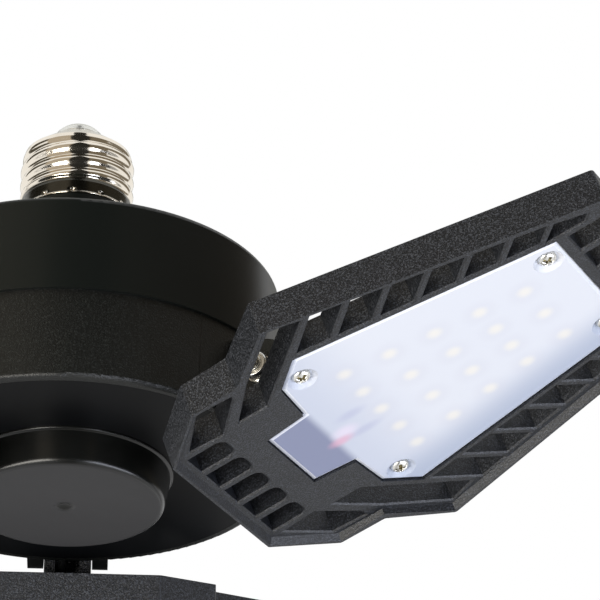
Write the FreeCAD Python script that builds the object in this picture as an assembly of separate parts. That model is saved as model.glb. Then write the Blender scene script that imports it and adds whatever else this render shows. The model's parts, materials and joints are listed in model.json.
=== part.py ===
import FreeCAD, Part
import math
import os

from FreeCAD import Vector

# A screw-in ceiling light with three tilting wings. Millimetres, +Z up.
# The origin is on the axis of the lamp base, in the plane of the lower rim of its screw shell.
# Heights of the hub are first measured up from the flat face of the centre cap (z = 0) and
# moved down by RIM_HEIGHT when each piece is written.

# ---- driving dimensions: lamp base ----
RIM_HEIGHT = 73.5          # lower rim of the screw shell above the cap face
BASE_R = 13.2              # crest of the 26 mm screw shell
BASE_LENGTH = 14.9         # straight length of the screw shell
SHELL_SHEET = 0.9          # depth taken by the rolled sheet
SPIGOT_LENGTH = 3.5        # of the neck, inside the screw shell
SHOULDER_FOOT = (12.5, 90.1)   # the shell's shoulder is a cone between these two circles
SHOULDER_NOSE = (6.8, 95.5)
SHOULDER_TOP = 95.9        # where the screw shell meets the insulator
INSULATOR_R = 5.9
INSULATOR_BAND = 0.4       # of the insulator above the shell
CONTACT_R = 5.6
CONTACT_EDGE = 0.5
BASE_LEAD_R = 0.7
BOARD_LEAD_R = 9.3         # where the two base leads leave the board
LIVE_TURNS = (60.0, 78.0)  # heights where the live lead turns in towards the contact
LIVE_BEND_R = 8.0
NEUTRAL_HEIGHT = 85.5      # where the neutral lead meets the wall of the shell
NEUTRAL_BEND_R = 2.0
PLUG_DEPTH = 4.0           # of the insulator below the shell's mouth
CONTACT_TOP = 98.7

# ---- driving dimensions: hub ----
HUB_R = 48.6               # upper shell at its lower edge
HUB_TOP_R = 47.3           # upper shell at its shoulder
SHELL_LOW = 29.2
SHOULDER_HEIGHT = 52.5
SHOULDER_EDGE = 1.5        # rounding of the shoulder
NECK_FOOT_R = 22.0
NECK_FOOT_HEIGHT = 57.5
NECK_LOW_R = 14.0          # neck above its foot
NECK_R = 13.0              # neck just under the screw shell
NECK_RISE = 7.0            # height of the concave foot
HUB_WALL = 2.3
RING_R_TOP = 47.9
RING_R_LOW = 47.5
RING_LOW = 8.2
RING_WALL = 2.6
RING_EDGE = 1.0            # rounding of the ring's lower edge
COVER_R = 45.3
COVER_THICKNESS = 2.4
CAP_R = 23.6
CAP_FACE_R = 22.1
CAP_EDGE = 1.0
CAP_WALL = 1.8
CAP_SEAT_R = 21.6          # recess in the cover that centres the cap
CAP_SEAT_DEPTH = 0.9
DIMPLE_SPHERE_R = 6.0
DIMPLE_DEPTH = 0.5
BOARD_R = 37.0
BOARD_HEIGHT = 24.0
BOARD_THICKNESS = 1.6
POST_R = 17.0              # three posts that take the cover screws
BOARD_POST_R = 30.0        # three posts that carry the board
BOARD_POST = (3.0, 1.1)    # radius of a board post and of its screw hole
BOARD_SCREW_REACH = 6.0
COVER_POST = (3.6, 1.2)    # radius of a cover post and of its screw hole
COVER_SCREW_LENGTH = 13.0
SPIGOT_WALL = 2.0          # of the shell's spigot inside the hinge ring
SPIGOT_REACH = 2.5         # how far it drops into the ring
COLLAR_RISE = 3.0
RING_LEDGE = 2.0           # inner lip of the ring that the cover is pressed against
RING_LEDGE_T = 1.5
WIRE_HOLE_R = 6.0          # in the middle of the cover
CAN_SIZES = ((6.3, 20.0, 0.0), (5.0, 16.0, 120.0), (4.0, 12.0, 240.0))   # radius, height, azimuth
CAN_PLACE_R = 25.0
CORE_SIZE = (20.0, 16.0, 15.0)
CORE_WINDOW = (13.0, 20.0, 9.0)

# ---- driving dimensions: hinges ----
PIVOT_R = 54.0             # hinge axis from the lamp axis
PIVOT_HEIGHT = 17.4
LUG_IN = 5.8
LUG_OUT = 9.5
LUG_R = 7.4
LUG_SLOPE = 55.0
LUG_RISE = 9.0             # root of a lug above the hinge axis
EAR_IN = 2.9
EAR_OUT = 5.5
EAR_R = 4.2
BOLT_R = 1.5
BOLT_BORE_R = 1.55
WASHER_R = 3.2
SPRING_WASHER_R = 2.9
FLAT_WASHER_T = 0.5
SPRING_WASHER_T = 0.8
NUT_FLATS = 5.5
NUT_T = 2.4
BOLT_HEAD = (2.9, 2.4)     # radius and height
BOLT_STAND_OUT = 1.0       # of the bolt's end beyond the nut
SEAT_GAP = 0.05            # between a lug and what is clamped on it
STACK = LUG_OUT + SEAT_GAP   # where the washers start on the nut's side
LEAD_R = 0.9
LEAD_OFFSET = 1.2          # the lead runs beside the middle of the hinge
LEAD_TURN_R = 7.5          # the lead bends round the bolt at this radius
LEAD_BEND = 2.5            # and down into the wing at this one
LEAD_END = 130.0           # angle about the bolt where it ends, inside the ring

# ---- driving dimensions: wings. u runs outward in the wing, v across, h up from the rim ----
WING_AZIMUTH = {"right": -30.0, "rear": 90.0, "left": -150.0}
WING_TILT = {"right": 19.75, "rear": 15.5, "left": 19.75}
PIVOT_U = 64.6
PIVOT_H = 20.1
WING_DEPTH = 8.3
RIM_T = 1.8
LATTICE_H = 1.5            # the lattice lies this far behind the rim
# half outline of the wing, hinge end first
WING_OUTLINE = [(42.3, 22.0), (54.5, 35.1), (66.0, 35.4), (78.6, 47.7), (152.0, 26.8)]
WING_CORNER_R = 1.0
# half outline of the lens: tab, shoulder, widest point, outer end
LENS_OUTLINE = [(61.0, 11.0), (71.0, 12.3), (71.8, 24.2), (78.6, 31.6), (137.6, 20.4)]
LENS_FACE_H = 1.7
LENS_SKIN = 1.2
LENS_WALL = 1.6
LENS_SEAT_H = 4.2
LENS_GAP = 0.25
LENS_BEVEL = (0.9, 0.5)    # width and depth of the bevel round its face
PAD_H = 5.8                # floor that carries the LED board
FIN_H = 2.2                # back fins above the wing's back
FIN_T = 1.4
FIN_COUNT = 7
FIN_U = (80.0, 136.0)      # where the fins start and end
FIN_MARGIN = 4.0           # from the lens's edge to the outermost fin
LED_BOARD_T = 1.2
NOTCH_V = 5.0              # half width of the board's notch round the lead
NOTCH_PAST = 2.5
LED_ROWS = (5, 4, 4, 4, 3)
LED_FIRST_U = 84.05
LED_PITCH_U = 10.3
LED_SPREAD = 17.8          # half width of the first row
LED_SPREAD_STEP = 1.83     # each row is this much narrower
LED_SIZE = (2.8, 3.5, 0.7)
LENS_SCREWS = [(76.8, 23.9), (133.5, 15.5)]
SCREW_HEAD_R = 2.15
SCREW_HEAD_T = 1.3
SCREW_SHANK_R = 1.25
DISH_R = 3.4               # dished seats round the screw heads
DISH_DEPTH = 1.2
POST_OUTER_R = 2.0
POST_INNER_R = 1.5
# lattice openings
END_SLOT_WIDTH = 6.3
END_SLOT_PITCH = 8.3
END_SLOT_COUNT = 5
HINGE_SLOTS_U = (45.3, 54.2)
HINGE_SLOT_END_R = 2.0     # their ends at the lens are rounded
OUTER_SLOTS_U = (140.5, 149.5)
CORNER_SLOT = [(47.2, 22.0), (55.3, 21.2), (62.8, 30.5), (63.0, 32.5), (54.6, 31.8)]
SHOULDER_SLOT = [(59.9, 22.2), (66.9, 22.2), (86.0, 42.0), (79.7, 44.8), (67.3, 32.0)]
TIP_SLOT = [(135.9, 21.8), (144.9, 21.6), (146.7, 23.4), (139.9, 26.0)]
SIDE_SLOT_COUNT = 6
SIDE_SLOT_FIRST = 80.3
SIDE_SLOT_PITCH = 9.4
SIDE_SLOT_LENGTH = 7.35
FIRST_SLOT_EXTRA = 0.8     # the first one reaches further out
SIDE_SLOT_SLANT = 48.0     # the ribs lie at this angle to the wing's length
SIDE_SLOT_ENDS = [(88.0, 41.9), (140.0, 26.2)]   # line that the outer ends follow
LEDGE = 1.6                # flat ledge between the lens and the side slots
RIB_BEVEL = 0.4
# hinge ears, cast on the back of each wing
EAR_PAD_U = (58.8, 75.4)
EAR_PAD_V = 10.0
EAR_PAD_T = 1.5
EAR_FOOT_U = 74.4
EAR_SLOPE = 35.0
WEB_U = (68.6, 70.8)       # wall that joins the two ears behind the lead
WEB_TOP_H = 17.4

CLEAR = 0.1                # between pieces that are fitted together
LEAD_U = PIVOT_U + LEAD_BEND


def write(node, shape):
    """Move a piece from cap heights to the row frame and write it."""
    moved = shape.copy()
    moved.translate(Vector(0, 0, -RIM_HEIGHT))
    moved.exportStep("parts/%s.step" % node)


def cylinder(radius, low, high, x=0.0, y=0.0):
    return Part.makeCylinder(radius, high - low, Vector(x, y, low))


def tube(outer, inner, low, high, x=0.0, y=0.0):
    return cylinder(outer, low, high, x, y).cut(cylinder(inner, low - 1, high + 1, x, y))


def hexagon(flats, low, high):
    corner = flats / math.sqrt(3.0)
    points = [(corner * math.cos(math.radians(60 * k)), corner * math.sin(math.radians(60 * k)))
              for k in range(6)]
    return prism(points, low, high)


def wire_of(points, h, radii=None):
    """Closed wire through points at height h, each corner rounded with its own radius."""
    count = len(points)
    radii = radii or [0.0] * count
    corners = []
    for k in range(count):
        here = Vector(points[k][0], points[k][1], h)
        before = Vector(points[k - 1][0], points[k - 1][1], h)
        after = Vector(points[(k + 1) % count][0], points[(k + 1) % count][1], h)
        to_before = (before - here).normalize()
        to_after = (after - here).normalize()
        half = math.acos(max(-1.0, min(1.0, to_before.dot(to_after)))) / 2
        if radii[k] <= 0:
            corners.append((here, here, here))
            continue
        back_off = radii[k] / math.tan(half)
        middle = (to_before + to_after).normalize()
        centre = here + middle * (radii[k] / math.sin(half))
        corners.append((here + to_before * back_off, centre - middle * radii[k],
                        here + to_after * back_off))
    edges = []
    for k in range(count):
        first, mid, last = corners[k]
        if radii[k] > 0:
            edges.append(Part.Arc(first, mid, last).toShape())
        edges.append(Part.LineSegment(last, corners[(k + 1) % count][0]).toShape())
    return Part.Wire(edges)


def revolve(points, radii=None):
    """Turn a closed profile of (radius, height) points about the lamp axis."""
    profile = wire_of(points, 0.0, radii)
    profile.rotate(Vector(0, 0, 0), Vector(1, 0, 0), 90)
    return Part.Face(profile).revolve(Vector(0, 0, 0), Vector(0, 0, 1), 360)


def prism(points, low, high, radii=None):
    face = Part.Face(wire_of(points, low, radii))
    return face.extrude(Vector(0, 0, high - low))


def mirrored(half):
    """Close a half outline given on +v into a full outline about the u axis."""
    return half + [(u, -v) for u, v in reversed(half)]


def grown(points, distance):
    """Offset of a convex or plain outline by moving each side and meeting its neighbours."""
    area = sum(points[k - 1][0] * points[k][1] - points[k][0] * points[k - 1][1]
               for k in range(len(points)))
    sign = 1.0 if area > 0 else -1.0
    sides = []
    for k in range(len(points)):
        (x0, y0), (x1, y1) = points[k - 1], points[k]
        length = math.hypot(x1 - x0, y1 - y0)
        nx, ny = sign * (y1 - y0) / length, -sign * (x1 - x0) / length
        sides.append((nx, ny, nx * x0 + ny * y0 + distance))
    result = []
    for k in range(len(points)):
        a1, b1, c1 = sides[k]
        a2, b2, c2 = sides[(k + 1) % len(points)]
        det = a1 * b2 - a2 * b1
        result.append(((c1 * b2 - c2 * b1) / det, (a1 * c2 - a2 * c1) / det))
    return result


# ---------------------------------------------------------------- lamp base

def screw_shell():
    """Screw shell as a sleeve with a coned shoulder, open at both ends."""
    top = RIM_HEIGHT + BASE_LENGTH
    foot_r, foot_z = SHOULDER_FOOT
    nose_r, nose_z = SHOULDER_NOSE
    sheet = SHELL_SHEET
    outer = [(BASE_R, RIM_HEIGHT), (BASE_R, top), (foot_r, foot_z), (nose_r, nose_z),
             (INSULATOR_R, SHOULDER_TOP)]
    inner = [(INSULATOR_R, SHOULDER_TOP - sheet), (foot_r - sheet, foot_z - sheet / 2),
             (BASE_R - sheet, top - sheet / 2), (BASE_R - sheet, RIM_HEIGHT)]
    return revolve(outer + inner, [0, 1.5, 1.5, 0.5, 0, 0, 0, 0, 0])


def base_insulator():
    """Plug that fills the shell's mouth, with a thin band showing under the contact."""
    low = SHOULDER_TOP - PLUG_DEPTH
    seat = SHOULDER_TOP - SHELL_SHEET
    top = SHOULDER_TOP + INSULATOR_BAND
    return revolve([(0, low), (INSULATOR_R - 1.6, low), (INSULATOR_R, seat),
                    (INSULATOR_R, top), (0, top)])


def base_contact():
    """Centre contact: a short disc under a spherical cap."""
    low = SHOULDER_TOP + INSULATOR_BAND
    rise = CONTACT_TOP - low - CONTACT_EDGE
    dome_r = (CONTACT_R ** 2 + rise ** 2) / (2 * rise)
    dome = Part.makeSphere(dome_r, Vector(0, 0, CONTACT_TOP - dome_r))
    return cylinder(CONTACT_R, low, CONTACT_TOP).common(dome)


def pipe(points, bend, radius):
    """Round wire along straight runs joined by tangent arcs."""
    edges = []
    start = Vector(*points[0])
    for before, here, after in zip(points, points[1:], points[2:]):
        corner = Vector(*here)
        back = (Vector(*before) - corner).normalize()
        on = (Vector(*after) - corner).normalize()
        half = math.acos(back.dot(on)) / 2
        reach = bend / math.tan(half)
        middle = (back + on).normalize()
        bulge = corner + middle * (bend / math.sin(half) - bend)
        edges.append(Part.LineSegment(start, corner + back * reach).toShape())
        edges.append(Part.Arc(corner + back * reach, bulge, corner + on * reach).toShape())
        start = corner + on * reach
    edges.append(Part.LineSegment(start, Vector(*points[-1])).toShape())
    heading = Vector(*points[1]) - Vector(*points[0])
    section = Part.Wire([Part.makeCircle(radius, Vector(*points[0]), heading)])
    return Part.Wire(edges).makePipeShell([section], True, False)


def base_leads():
    """Live lead up to the centre contact and neutral lead to the wall of the screw shell."""
    low = BOARD_HEIGHT + BOARD_THICKNESS
    side = BOARD_LEAD_R
    wall = BASE_R - SHELL_SHEET - CLEAR
    turn_out, turn_up = LIVE_TURNS
    live = pipe([(0, side, low), (0, side, turn_out), (0, 0, turn_up),
                 (0, 0, SHOULDER_TOP - PLUG_DEPTH)], LIVE_BEND_R, BASE_LEAD_R)
    neutral = pipe([(0, -side, low), (0, -side, NEUTRAL_HEIGHT), (0, -wall, NEUTRAL_HEIGHT)],
                   NEUTRAL_BEND_R, BASE_LEAD_R)
    return Part.makeCompound([live, neutral])


# ---------------------------------------------------------------- hub

def upper_shell():
    """Smooth housing: drum wall, rounded shoulder, low cone and the neck for the lamp base."""
    wall = HUB_WALL
    neck_top = RIM_HEIGHT - CLEAR
    spigot_r = BASE_R - SHELL_SHEET - CLEAR / 2
    spigot_top = RIM_HEIGHT + SPIGOT_LENGTH
    bore = spigot_r - 1.6
    ceiling = NECK_FOOT_HEIGHT - wall
    inner_shoulder = SHOULDER_HEIGHT - wall
    outer = [(HUB_R, SHELL_LOW), (HUB_TOP_R, SHOULDER_HEIGHT), (NECK_FOOT_R, NECK_FOOT_HEIGHT),
             (NECK_LOW_R, NECK_FOOT_HEIGHT + NECK_RISE), (NECK_R, neck_top),
             (spigot_r, neck_top), (spigot_r, spigot_top)]
    inner = [(bore, spigot_top), (bore, ceiling), (NECK_FOOT_R, ceiling),
             (HUB_TOP_R - wall, inner_shoulder), (HUB_R - wall, SHELL_LOW)]
    shell = revolve(outer + inner, [0, SHOULDER_EDGE, 6.0, 6.0] + [0] * 8)
    for piece in shell_spigot():
        shell = shell.fuse(piece)
    for azimuth in WING_AZIMUTH.values():
        x, y = polar(POST_R, azimuth + 60.0)
        post = cylinder(COVER_POST[0], RING_LOW + COVER_THICKNESS, ceiling + 0.8, x, y)
        hole = cylinder(COVER_POST[1], RING_LOW, RING_LOW + COVER_SCREW_LENGTH + 3.0, x, y)
        shell = shell.fuse(post).cut(hole)
    return shell.removeSplitter()


def shell_spigot():
    """Ring that drops inside the hinge ring, and the collar that joins it to the wall."""
    outside = RING_R_TOP - RING_WALL - CLEAR
    inside = outside - SPIGOT_WALL
    collar_top = SHELL_LOW + COLLAR_RISE
    return [tube(outside, inside, SHELL_LOW - SPIGOT_REACH, collar_top),
            tube(HUB_R - HUB_WALL / 2, inside, SHELL_LOW, collar_top)]


def polar(radius, azimuth):
    angle = math.radians(azimuth)
    return radius * math.cos(angle), radius * math.sin(angle)


def lug():
    """One hinge lug at azimuth 0, in the plane of radius and height."""
    root = RING_R_LOW - 1.5
    top = PIVOT_HEIGHT + LUG_RISE
    low = PIVOT_HEIGHT - LUG_R
    eye = Part.makeCylinder(LUG_R, LUG_OUT - LUG_IN, Vector(PIVOT_R, LUG_IN, PIVOT_HEIGHT),
                            Vector(0, 1, 0))
    slope = math.radians(LUG_SLOPE)
    tangent = (PIVOT_R + LUG_R * math.cos(slope), PIVOT_HEIGHT + LUG_R * math.sin(slope))
    outline = [(root, low), (PIVOT_R, low), tangent, (RING_R_TOP + 1.0, top), (root, top)]
    wire = Part.makePolygon([Vector(r, LUG_IN, z) for r, z in outline + outline[:1]])
    web = Part.Face(wire).extrude(Vector(0, LUG_OUT - LUG_IN, 0))
    return eye.fuse(web)


def hinge_ring():
    """Textured band with a pair of lugs and a slot for the lead at each wing."""
    inside = RING_R_TOP - RING_WALL
    lip = COVER_R + CLEAR
    step = RING_LOW + COVER_THICKNESS
    ledge = inside - RING_LEDGE
    ring = revolve([(lip, RING_LOW), (RING_R_LOW, RING_LOW), (RING_R_TOP, SHELL_LOW),
                    (inside, SHELL_LOW), (inside, step + RING_LEDGE_T),
                    (ledge, step + RING_LEDGE_T), (ledge, step), (lip, step)],
                   [0, RING_EDGE, 0, 0, 0, 0, 0, 0])
    pair = lug()
    pair = pair.fuse(pair.mirror(Vector(0, 0, 0), Vector(0, 1, 0)))
    bore = Part.makeCylinder(BOLT_BORE_R, 2 * LUG_OUT + 2,
                             Vector(PIVOT_R, -LUG_OUT - 1, PIVOT_HEIGHT), Vector(0, 1, 0))
    slot_low = PIVOT_HEIGHT - LEAD_TURN_R + 0.7
    slot = Part.makeBox(6.0, 2 * LEAD_R + 1.2, SHELL_LOW - 4.0 - slot_low,
                        Vector(inside - 1.5, LEAD_OFFSET - LEAD_R - 0.6, slot_low))
    for azimuth in WING_AZIMUTH.values():
        ring = ring.fuse(turned(pair, azimuth)).cut([turned(bore, azimuth), turned(slot, azimuth)])
    return ring.cut(cylinder(ledge, RING_LOW - 1, SHELL_LOW + 1)).removeSplitter()


def turned(shape, azimuth):
    """The shape turned about the lamp axis from azimuth 0."""
    moved = shape.copy()
    moved.rotate(Vector(0, 0, 0), Vector(0, 0, 1), azimuth)
    return moved


def bottom_cover():
    """Flat cover inside the ring's lower lip, with board posts and a seat for the cap."""
    top = RING_LOW + COVER_THICKNESS
    cover = cylinder(COVER_R, RING_LOW, top)
    cover = cover.cut(cylinder(CAP_SEAT_R, RING_LOW - 1, RING_LOW + CAP_SEAT_DEPTH))
    cover = cover.cut(cylinder(WIRE_HOLE_R, RING_LOW, top + 1))
    for azimuth in WING_AZIMUTH.values():
        x, y = polar(BOARD_POST_R, azimuth)
        hole_low = BOARD_HEIGHT - BOARD_SCREW_REACH - 2.0
        cover = cover.fuse(cylinder(BOARD_POST[0], top, BOARD_HEIGHT, x, y))
        cover = cover.cut(cylinder(BOARD_POST[1], hole_low, BOARD_HEIGHT + 1, x, y))
        x, y = polar(POST_R, azimuth + 60.0)
        cover = cover.cut(cylinder(COVER_POST[1] + 0.5, RING_LOW - 1, top + 1, x, y))
    return cover


def centre_cap():
    """Dished cap: flat face at z = 0 with a rounded edge, spigot in the cover's seat."""
    spigot_r = CAP_SEAT_R - CLEAR
    hollow_r = spigot_r - 1.5
    top = RING_LOW + CAP_SEAT_DEPTH - CLEAR
    cap = revolve([(0, 0), (CAP_FACE_R, 0), (CAP_R, RING_LOW), (spigot_r, RING_LOW),
                   (spigot_r, top), (hollow_r, top), (hollow_r, CAP_WALL), (0, CAP_WALL)],
                  [0, CAP_EDGE, 0, 0, 0, 0, 0, 0])
    dimple = Part.makeSphere(DIMPLE_SPHERE_R, Vector(0, 0, DIMPLE_DEPTH - DIMPLE_SPHERE_R))
    return cap.cut(dimple)


def around(radius, turn):
    """One place at each wing's azimuth, turned on by an angle."""
    return [polar(radius, azimuth + turn) for azimuth in WING_AZIMUTH.values()]


def cover_screws():
    """Screws through the cover into the posts of the upper shell, under the cap."""
    pattern = screw(2.6, 1.8, COVER_POST[1] - 0.02, COVER_SCREW_LENGTH)
    return screws_at(around(POST_R, 60.0), RING_LOW + CAP_SEAT_DEPTH, pattern)


def driver_board():
    """Round board with holes for its screws and room for the posts of the upper shell."""
    top = BOARD_HEIGHT + BOARD_THICKNESS
    board = cylinder(BOARD_R, BOARD_HEIGHT, top)
    for azimuth in WING_AZIMUTH.values():
        x, y = polar(BOARD_POST_R, azimuth)
        board = board.cut(cylinder(BOARD_POST[1] + CLEAR, BOARD_HEIGHT - 1, top + 1, x, y))
        x, y = polar(POST_R, azimuth + 60.0)
        board = board.cut(cylinder(COVER_POST[0] + 0.4, BOARD_HEIGHT - 1, top + 1, x, y))
    return board


def board_screws():
    """Screws through the board into the posts of the cover, heads on top."""
    pattern = screw(2.2, 1.6, BOARD_POST[1] - 0.02, BOARD_THICKNESS + BOARD_SCREW_REACH)
    pattern.rotate(Vector(0, 0, 0), Vector(1, 0, 0), 180)
    return screws_at(around(BOARD_POST_R, 0.0), BOARD_HEIGHT + BOARD_THICKNESS, pattern)


def centred_box(size, low):
    length, width, height = size
    return Part.makeBox(length, width, height, Vector(-length / 2, -width / 2, low))


def driver_transformer():
    """Core with a wound bobbin in its window."""
    low = BOARD_HEIGHT + BOARD_THICKNESS
    window_low = low + (CORE_SIZE[2] - CORE_WINDOW[2]) / 2
    bobbin = cylinder(CORE_WINDOW[0] / 2 - CLEAR, window_low, window_low + CORE_WINDOW[2])
    return centred_box(CORE_SIZE, low).cut(centred_box(CORE_WINDOW, window_low)).fuse(bobbin)


def driver_capacitors():
    """Three cans standing on the board, each with the groove rolled round its foot."""
    low = BOARD_HEIGHT + BOARD_THICKNESS
    cans = []
    for radius, height, azimuth in CAN_SIZES:
        x, y = polar(CAN_PLACE_R, azimuth)
        can = cylinder(radius, low, low + height, x, y)
        groove = tube(radius + 1, radius - 0.5, low + 2.0, low + 3.0, x, y)
        cans.append(can.cut(groove))
    return Part.makeCompound(cans)


# ---------------------------------------------------------------- wings, in (u, v, h)

def place_wing(shape, wing):
    """Carry a wing piece from (u, v, h) to its tilted place at the hinge."""
    moved = shape.copy()
    moved.translate(Vector(-PIVOT_U, 0, -PIVOT_H))
    moved.rotate(Vector(0, 0, 0), Vector(0, 1, 0), -WING_TILT[wing])
    moved.translate(Vector(PIVOT_R, 0, PIVOT_HEIGHT))
    moved.rotate(Vector(0, 0, 0), Vector(0, 0, 1), WING_AZIMUTH[wing])
    return moved


def mirror_v(points):
    return [(u, -v) for u, v in points]


def side_slot(k):
    """Slanted side opening k, between the lens ledge and the line of outer ends."""
    slant = 1 / math.tan(math.radians(SIDE_SLOT_SLANT))
    (u0, v0), (u1, v1) = SIDE_SLOT_ENDS
    fall = (v0 - v1) / (u1 - u0)
    start = SIDE_SLOT_FIRST + k * SIDE_SLOT_PITCH
    inner = [(u, lens_line(u) + LEDGE) for u in (start, start + SIDE_SLOT_LENGTH)]
    outer = []
    extra = FIRST_SLOT_EXTRA if k == 0 else 0.0
    for u, v in inner:
        rise = (v0 + extra - fall * (u - u0) - v) / (1 + slant * fall)
        outer.append((u + slant * rise, v + rise))
    return [inner[0], inner[1], outer[1], outer[0]]


def end_slots():
    """Straight openings at the hinge end and at the outer end."""
    slots = []
    half = END_SLOT_WIDTH / 2
    rounded_end = [0, HINGE_SLOT_END_R, HINGE_SLOT_END_R, 0]
    for k in range(END_SLOT_COUNT):
        v = (k - (END_SLOT_COUNT - 1) / 2) * END_SLOT_PITCH
        for (u0, u1), radii in ((HINGE_SLOTS_U, rounded_end), (OUTER_SLOTS_U, [0] * 4)):
            slots.append(([(u0, v - half), (u1, v - half), (u1, v + half), (u0, v + half)],
                          radii))
    return slots


def slot_outlines():
    """Openings of the lattice, each an outline with its corner radii."""
    sides = [CORNER_SLOT, SHOULDER_SLOT, TIP_SLOT]
    sides += [side_slot(k) for k in range(SIDE_SLOT_COUNT)]
    sides += [mirror_v(points) for points in sides]
    return end_slots() + [(points, [0] * len(points)) for points in sides]


def lens_line(u):
    """Long edge of the lens."""
    (u0, v0), (u1, v1) = LENS_OUTLINE[3:]
    return v0 + (v1 - v0) * (u - u0) / (u1 - u0)


def slot_cutter(points, radii):
    """Straight opening whose edges at the lit face are bevelled."""
    straight = prism(points, -1.0, WING_DEPTH + FIN_H + 1.0, radii)
    wide = grown(points, RIB_BEVEL)
    wide_radii = [r + RIB_BEVEL if r else 0 for r in radii]
    flare = Part.makeLoft([wire_of(wide, LATTICE_H, wide_radii),
                           wire_of(points, LATTICE_H + RIB_BEVEL, radii)], True, True)
    return straight.fuse(flare)


def wing_frame():
    """Cast lattice: proud rim, bevelled slots, lens seat, board pad, back fins and ears."""
    outline = mirrored(WING_OUTLINE)
    rounding = [WING_CORNER_R] * len(outline)
    body = prism(outline, 0.0, WING_DEPTH, rounding)
    body = body.cut(prism(grown(outline, -RIM_T), -1.0, LATTICE_H))
    body = body.cut([slot_cutter(points, radii) for points, radii in slot_outlines()])
    body = body.fuse(back_fins() + hinge_ears())
    lens_area = mirrored(LENS_OUTLINE)
    body = body.cut(prism(grown(lens_area, LENS_GAP), 0.0, LENS_SEAT_H))
    body = body.cut(prism(grown(lens_area, -LENS_WALL - 0.2), 0.0, PAD_H))
    holes = [cylinder(SCREW_SHANK_R + 0.02, 0, WING_DEPTH - 0.3, u, v)
             for u, v in screw_places()]
    holes.append(cylinder(LEAD_R + 0.05, 0, WING_DEPTH + EAR_PAD_T + 1, LEAD_U, LEAD_OFFSET))
    holes.append(Part.makeCylinder(BOLT_BORE_R, 20.0, Vector(PIVOT_U, -10.0, PIVOT_H),
                                   Vector(0, 1, 0)))
    return body.cut(holes).removeSplitter()


def hinge_ears():
    """Two ears round the hinge bolt, a wall between them and the pad they stand on."""
    pad_top = WING_DEPTH + EAR_PAD_T
    u0, u1 = EAR_PAD_U
    pieces = [prism([(u0, -EAR_PAD_V), (u1, -EAR_PAD_V), (u1, EAR_PAD_V), (u0, EAR_PAD_V)],
                    WING_DEPTH - 0.5, pad_top, [2.0] * 4)]
    slope = math.radians(EAR_SLOPE)
    tangent = (PIVOT_U + EAR_R * math.cos(slope), PIVOT_H + EAR_R * math.sin(slope))
    outline = [(PIVOT_U - EAR_R, pad_top - 1.0), (PIVOT_U - EAR_R, PIVOT_H), tangent,
               (EAR_FOOT_U, pad_top + 0.5), (EAR_FOOT_U, pad_top - 1.0)]
    for side in (1, -1):
        low, high = sorted((side * EAR_IN, side * EAR_OUT))
        pieces.append(Part.makeCylinder(EAR_R, high - low, Vector(PIVOT_U, low, PIVOT_H),
                                        Vector(0, 1, 0)))
        wire = Part.makePolygon([Vector(u, low, h) for u, h in outline + outline[:1]])
        pieces.append(Part.Face(wire).extrude(Vector(0, high - low, 0)))
    web = [(WEB_U[0], -EAR_IN - 0.5), (WEB_U[1], -EAR_IN - 0.5),
           (WEB_U[1], EAR_IN + 0.5), (WEB_U[0], EAR_IN + 0.5)]
    pieces.append(prism(web, pad_top - 1.0, WEB_TOP_H))
    return pieces


def back_fins():
    """Low cooling fins along the wing behind the board."""
    fins = []
    first, last = FIN_U
    for k in range(FIN_COUNT):
        across = (k - (FIN_COUNT - 1) / 2) * 2.0 / (FIN_COUNT - 1)
        v0 = across * (lens_line(first) - FIN_MARGIN)
        v1 = across * (lens_line(last) - FIN_MARGIN)
        points = [(first, v0 - FIN_T / 2), (last, v1 - FIN_T / 2),
                  (last, v1 + FIN_T / 2), (first, v0 + FIN_T / 2)]
        fins.append(prism(points, WING_DEPTH - 0.5, WING_DEPTH + FIN_H))
    return fins


def lens():
    """Frosted cover: bevelled face, side wall down to its seat, dished seats and screw posts."""
    outline = mirrored(LENS_OUTLINE)
    bevel_width, bevel_depth = LENS_BEVEL
    shoulder = LENS_FACE_H + bevel_depth
    inside = LENS_FACE_H + LENS_SKIN
    body = Part.makeLoft([wire_of(grown(outline, -bevel_width), LENS_FACE_H),
                          wire_of(outline, shoulder)], True, True)
    body = body.fuse(prism(outline, shoulder, LENS_SEAT_H))
    body = body.cut(prism(grown(outline, -LENS_WALL), inside, LENS_SEAT_H + 1))
    cuts = []
    for u, v in screw_places():
        boss = cylinder(DISH_R + 0.8, LENS_FACE_H + DISH_DEPTH, inside + DISH_DEPTH, u, v)
        body = body.fuse(boss.common(prism(outline, shoulder, PAD_H)))
        body = body.fuse(cylinder(POST_OUTER_R, LENS_FACE_H + DISH_DEPTH, PAD_H, u, v))
        cuts.append(cylinder(POST_INNER_R, 0, PAD_H + 1, u, v))
        cuts.append(Part.makeCone(DISH_R, SCREW_HEAD_R + 0.1, DISH_DEPTH,
                                  Vector(u, v, LENS_FACE_H)))
    return body.cut(cuts).removeSplitter()


def screw_places():
    return [(u, side * v) for u, v in LENS_SCREWS for side in (1, -1)]


def screw(head_r, head_t, shank_r, length):
    """Screw along +Z with its seat at z = 0: a head with a broken edge below, its shank above."""
    edge = min(0.4, head_t / 3)
    return revolve([(0, -head_t), (head_r - edge, -head_t), (head_r, edge - head_t),
                    (head_r, 0), (shank_r, 0), (shank_r, length), (0, length)])


def screws_at(places, seat, pattern):
    """One group of equal screws."""
    group = []
    for x, y in places:
        piece = pattern.copy()
        piece.translate(Vector(x, y, seat))
        group.append(piece)
    return Part.makeCompound(group)


def lens_screws():
    """Heads in the dished seats of the lens, shanks into the wing frame."""
    seat = LENS_FACE_H + DISH_DEPTH
    pattern = screw(SCREW_HEAD_R, SCREW_HEAD_T, SCREW_SHANK_R, WING_DEPTH - 0.6 - seat)
    return screws_at(screw_places(), seat, pattern)


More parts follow.
